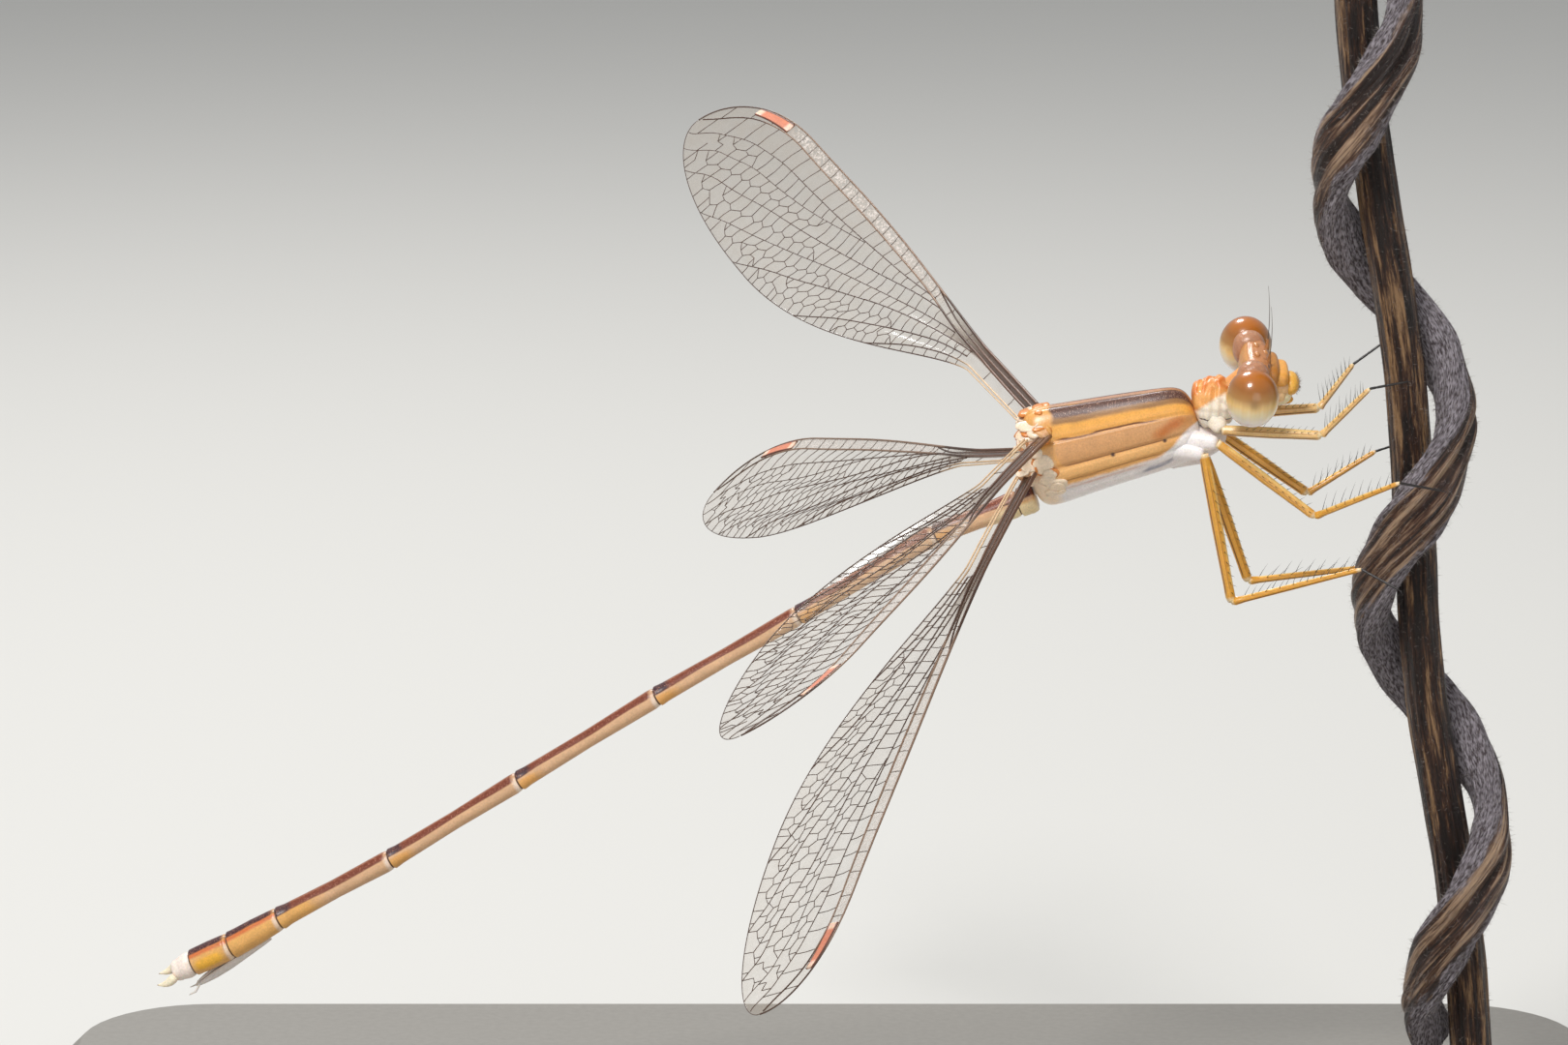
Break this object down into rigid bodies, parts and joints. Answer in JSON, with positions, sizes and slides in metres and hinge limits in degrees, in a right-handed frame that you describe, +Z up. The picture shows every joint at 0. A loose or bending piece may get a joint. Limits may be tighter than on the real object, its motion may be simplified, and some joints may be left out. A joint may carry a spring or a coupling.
{
  "type": "damselfly model on a stem",
  "caption": "Life-size still model of a female spreadwing damselfly, wings half open, gripping a short vine-wrapped stem held by a flat display base.",
  "frame": {"origin": "centre of the base's underside", "axes": "+Z up, +X towards the animal's head, along the base's long side; the animal's right side faces -Y"},
  "size_m": [0.05, 0.0372, 0.0398],
  "materials": {
    "base": "satin",
    "rod": "satin",
    "stem": "rough bark",
    "vine": "fuzzy bark",
    "cuticle_brown": "satin",
    "cuticle_tan": "satin",
    "cuticle_orange": "satin",
    "cuticle_pale": "satin",
    "cuticle_black": "satin",
    "leg": "satin",
    "eye": "glossy",
    "wing": "glossy"
  },
  "bodies": {
    "root": {"stand_base": "base", "stand_rod": "rod", "perch_stem": "stem", "perch_vine": "vine", "abdomen_1": "cuticle_brown", "abdomen_2": "cuticle_brown", "abdomen_3": "cuticle_brown", "abdomen_4": "cuticle_brown", "abdomen_5": "cuticle_brown", "abdomen_6": "cuticle_brown", "abdomen_7": "cuticle_brown", "abdomen_8": "cuticle_tan", "abdomen_9": "cuticle_tan", "abdomen_10": "cuticle_tan", "ovipositor": "cuticle_pale", "cercus_right": "cuticle_pale", "cercus_left": "cuticle_pale", "femur_fore_right": "leg", "tibia_fore_right": "leg", "tarsus_fore_right": "cuticle_black", "femur_fore_left": "leg", "tibia_fore_left": "leg", "tarsus_fore_left": "cuticle_black", "femur_mid_right": "leg", "tibia_mid_right": "leg", "tarsus_mid_right": "cuticle_black", "femur_mid_left": "leg", "tibia_mid_left": "leg", "tarsus_mid_left": "cuticle_black", "femur_hind_right": "leg", "tibia_hind_right": "leg", "tarsus_hind_right": "cuticle_black", "femur_hind_left": "leg", "tibia_hind_left": "leg", "tarsus_hind_left": "cuticle_black", "thorax": "cuticle_tan", "prothorax": "cuticle_orange", "head": "cuticle_orange", "labrum": "cuticle_orange", "jaws": "cuticle_orange", "eye_right": "eye", "eye_left": "eye", "antenna_right": "cuticle_black", "antenna_left": "cuticle_black", "wing_fore_left": "wing", "wing_fore_right": "wing", "wing_hind_left": "wing", "wing_hind_right": "wing"}
  },
  "joints": []
}
